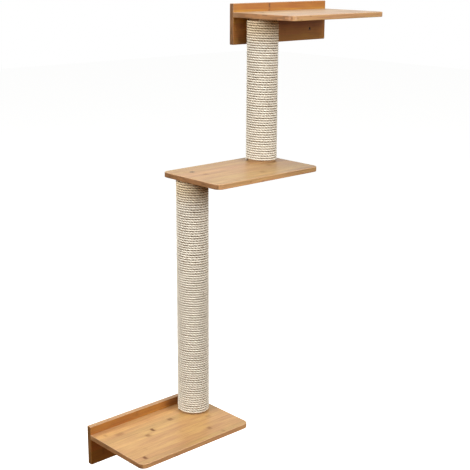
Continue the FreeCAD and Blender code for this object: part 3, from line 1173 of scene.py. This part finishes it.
def hexagon_outline(width):
    """Corners of a hexagon of a given width across its flats."""
    corner = width / math.sqrt(3)
    turns = [math.radians(60 * i) for i in range(6)]
    return [(corner * math.cos(t), corner * math.sin(t)) for t in turns]


def cross_outline(reach, wing):
    """Corners of a cross recess: four wings of a given width that reach a given radius."""
    points = []
    for i in range(4):
        turn = math.radians(90 * i)
        for along, side in ((reach, -wing / 2), (reach, wing / 2), (wing / 2, wing / 2)):
            points.append(
                (
                    along * math.cos(turn) - side * math.sin(turn),
                    along * math.sin(turn) + side * math.cos(turn),
                )
            )
    return points


def fastener_mesh(name, head, shank, length, recess, recess_depth, taper, thread, tip):
    """Countersunk fastener along +Z with its head's face at zero.

    recess is the outline of the driver's socket, taper its share left at the bottom, thread the
    (pitch, depth) of its helix, and tip the length of its point.
    """
    pitch, depth = thread
    work = bmesh.new()
    turns = [2 * math.pi * i / FASTENER_STEPS for i in range(FASTENER_STEPS)]

    def loop(radius, height):
        return [work.verts.new((radius * math.cos(t), radius * math.sin(t), height)) for t in turns]

    def socket(share, height):
        return [work.verts.new((x * share, y * share, height)) for x, y in recess]

    rim = head - RIM_EASE
    rings = [loop(rim, 0.0), loop(head, RIM_EASE), loop(shank, head - shank + RIM_EASE)]
    thread_start = head - shank + 2 * pitch
    rings.append(loop(shank, thread_start))
    rows = int((length - thread_start) / pitch * THREAD_STEPS)
    for row in range(1, rows + 1):
        height = thread_start + (length - thread_start) * row / rows
        left = length - height
        size = shank * max(left / tip, 0.12) if tip and left <= tip else shank
        ring = []
        for t in turns:
            phase = (height / pitch - t / (2 * math.pi)) % 1.0
            cut = depth * abs(2 * phase - 1) * min(1.0, (height - thread_start) / pitch)
            radius = max(size - cut, 0.1 * shank)
            ring.append(work.verts.new((radius * math.cos(t), radius * math.sin(t), height)))
        rings.append(ring)
    for lower, upper in zip(rings, rings[1:]):
        for i in range(FASTENER_STEPS):
            j = (i + 1) % FASTENER_STEPS
            work.faces.new((lower[i], lower[j], upper[j], upper[i])).smooth = True
    work.faces.new(rings[-1])
    mouth, floor = socket(1.0, 0.0), socket(taper, recess_depth)
    for i in range(len(recess)):
        j = (i + 1) % len(recess)
        work.faces.new((mouth[i], mouth[j], floor[j], floor[i]))
    work.faces.new(floor)
    edges = []
    for ring in (rings[0], mouth):
        edges += [work.edges.get((ring[i - 1], ring[i])) for i in range(len(ring))]
    bmesh.ops.triangle_fill(work, use_beauty=True, edges=edges)
    bmesh.ops.recalc_face_normals(work, faces=work.faces)
    mesh = bpy.data.meshes.new(name)
    work.to_mesh(mesh)
    work.free()
    return mesh


def fastener_tree():
    """Nodes that set one fastener at each point, turned along the point's own aim."""
    inputs = {"Points": "Geometry", "Fastener": "Object", "Material": "Material"}
    tree, given = new_group("Set Fasteners", inputs)
    shape = add(tree, "GeometryNodeObjectInfo", {"Object": given["Fastener"]})
    aim = add(tree, "GeometryNodeInputNamedAttribute", {"Name": "aim"}, data_type="FLOAT_VECTOR")
    aim_inputs = {"Vector": aim.outputs["Attribute"]}
    turned = add(tree, "FunctionNodeAlignRotationToVector", aim_inputs, axis="Z")
    place_inputs = {
        "Points": given["Points"],
        "Instance": shape.outputs["Geometry"],
        "Rotation": turned.outputs[0],
    }
    placed = add(tree, "GeometryNodeInstanceOnPoints", place_inputs)
    close_group(tree, placed.outputs[0], given["Material"])
    return tree


def set_fasteners(name, tree, shape, places, material, slot, node):
    """One piece of like fasteners at (point, aim) places."""
    points = bpy.data.meshes.new(name + "_points")
    points.from_pydata([tuple(point) for point, aim in places], [], [])
    aims = points.attributes.new("aim", "FLOAT_VECTOR", "POINT")
    for item, (point, aim) in zip(aims.data, places):
        item.vector = aim
    sample = bpy.data.objects.new(name + "_sample", shape)
    mesh = grown(name, tree, {"Fastener": sample, "Material": material}, points)
    if len(mesh.polygons) != len(places) * len(shape.polygons):
        raise RuntimeError(name + " doesn't hold one fastener at each place")
    bpy.data.objects.remove(sample)
    finish_piece(name, mesh, material, slot, node)


class CATTREE_OT_fasteners(bpy.types.Operator):
    """Furniture bolts, the long nuts they screw into, and the countersunk board screws"""

    bl_idname = "cattree.fasteners"
    bl_label = "Bolts, Nuts and Screws"

    def execute(self, context):
        sizes = context.scene.cat_tree_sizes
        colours = context.scene.cat_tree_colours
        tree = fastener_tree()
        bolt = fastener_mesh(
            "furniture_bolt",
            sizes.bolt_head / 2,
            sizes.bolt_shank / 2,
            sizes.bolt_length,
            recess=hexagon_outline(sizes.hex_key),
            recess_depth=KEY_DEPTH,
            taper=1.0,
            thread=BOLT_THREAD,
            tip=0.0,
        )
        screw = fastener_mesh(
            "board_screw",
            sizes.screw_head / 2,
            sizes.screw_shank / 2,
            sizes.screw_length,
            recess=cross_outline(CROSS_REACH, CROSS_WING),
            recess_depth=CROSS_DEPTH,
            taper=CROSS_TAPER,
            thread=SCREW_THREAD,
            tip=SCREW_TIP,
        )
        bolt_finish = plated_steel("black_zinc_plated_bolt", colours.dark_steel, 1.0, 0.6 * MM)
        screw_finish = plated_steel("zinc_plated_screw", colours.steel, 0.9, 0.4 * MM)
        nut_finish = plated_steel("zinc_plated_nut", colours.steel, 0.8, 0.8 * MM)
        for post in POSTS:
            x, y = post_axis(post)
            low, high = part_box(post + "_bolts")
            places = [
                (Vector((x, y, low.z)), Vector((0, 0, 1))),
                (Vector((x, y, high.z)), Vector((0, 0, -1))),
            ]
            name, node = post + "_furniture_bolts", post + "_bolts"
            set_fasteners(name, tree, bolt, places, bolt_finish, "bolt_steel", node)
        for node in ("bottom_shelf_screws", "top_shelf_screws"):
            low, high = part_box(node)
            places = [
                (Vector((x, high.y, z)), Vector((0, -1, 0)))
                for x, z in screw_places((low, high), sizes)
            ]
            name = node + "_threaded"
            set_fasteners(name, tree, screw, places, screw_finish, "screw_steel", node)
        dress_nodes([post + "_nuts" for post in POSTS], nut_finish)
        return {"FINISHED"}


# Panel and run

OPERATORS = (
    CATTREE_OT_stage,
    CATTREE_OT_shelves,
    CATTREE_OT_wall_boards,
    CATTREE_OT_windings,
    CATTREE_OT_post_cores,
    CATTREE_OT_fasteners,
)


class CATTREE_PT_panel(bpy.types.Panel):
    """Sizes, colours and steps of the cat tree"""

    bl_idname = "CATTREE_PT_panel"
    bl_label = "Cat Tree"
    bl_space_type = "VIEW_3D"
    bl_region_type = "UI"
    bl_category = "Cat Tree"

    def draw(self, context):
        layout = self.layout
        for group in (context.scene.cat_tree_sizes, context.scene.cat_tree_colours):
            column = layout.column(align=True)
            for name in group.__annotations__:
                column.prop(group, name)
        for operator in OPERATORS:
            layout.operator(operator.bl_idname)


CLASSES = (CatTreeSizes, CatTreeColours, *OPERATORS, CATTREE_PT_panel)


def register():
    """Makes the operators, their panel and their settings known."""
    for kind in CLASSES:
        bpy.utils.register_class(kind)
    bpy.types.Scene.cat_tree_sizes = PointerProperty(type=CatTreeSizes)
    bpy.types.Scene.cat_tree_colours = PointerProperty(type=CatTreeColours)


def unregister():
    """Takes them away again."""
    del bpy.types.Scene.cat_tree_colours
    del bpy.types.Scene.cat_tree_sizes
    for kind in reversed(CLASSES):
        bpy.utils.unregister_class(kind)


def main():
    """Makes the settings known and builds every piece in order."""
    register()
    for operator in OPERATORS:
        group, name = operator.bl_idname.split(".")
        getattr(getattr(bpy.ops, group), name)()


if __name__ == "__main__":
    main()
